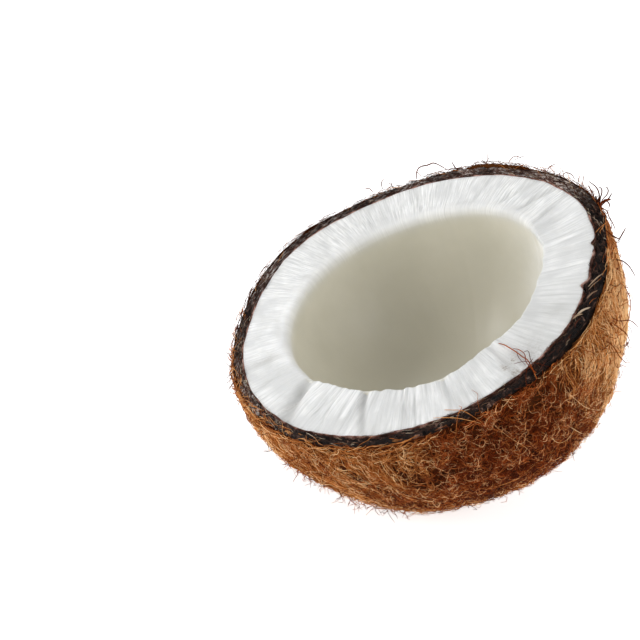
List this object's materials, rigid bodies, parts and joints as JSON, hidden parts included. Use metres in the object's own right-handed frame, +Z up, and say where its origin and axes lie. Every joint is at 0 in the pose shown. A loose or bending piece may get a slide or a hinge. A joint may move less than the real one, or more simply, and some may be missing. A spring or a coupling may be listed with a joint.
{
  "type": "coconut half",
  "caption": "Half a ripe coconut cut across: thick white meat round an open bowl, hard dark shell, coat of brown husk fibre, resting tilted on its husk.",
  "frame": {"origin": "centre of the flat patch of crushed husk that the half rests on", "axes": "+Z up; the cut face looks up and leans 25 degrees towards -Y; X runs across the tilt"},
  "size_m": [0.1122, 0.1091, 0.0806],
  "materials": {
    "meat": "moist white coconut meat with fine radial fibres on the cut",
    "brown_skin": "thin matt reddish-brown skin of the meat",
    "hard_shell": "dark hard shell, chipped and dull where it is cut",
    "husk_fibre": "combed golden to reddish-brown coir fibres"
  },
  "bodies": {
    "root": {"meat": "meat", "brown_skin": "brown_skin", "hard_shell": "hard_shell", "husk_fibre": "husk_fibre"}
  },
  "joints": []
}
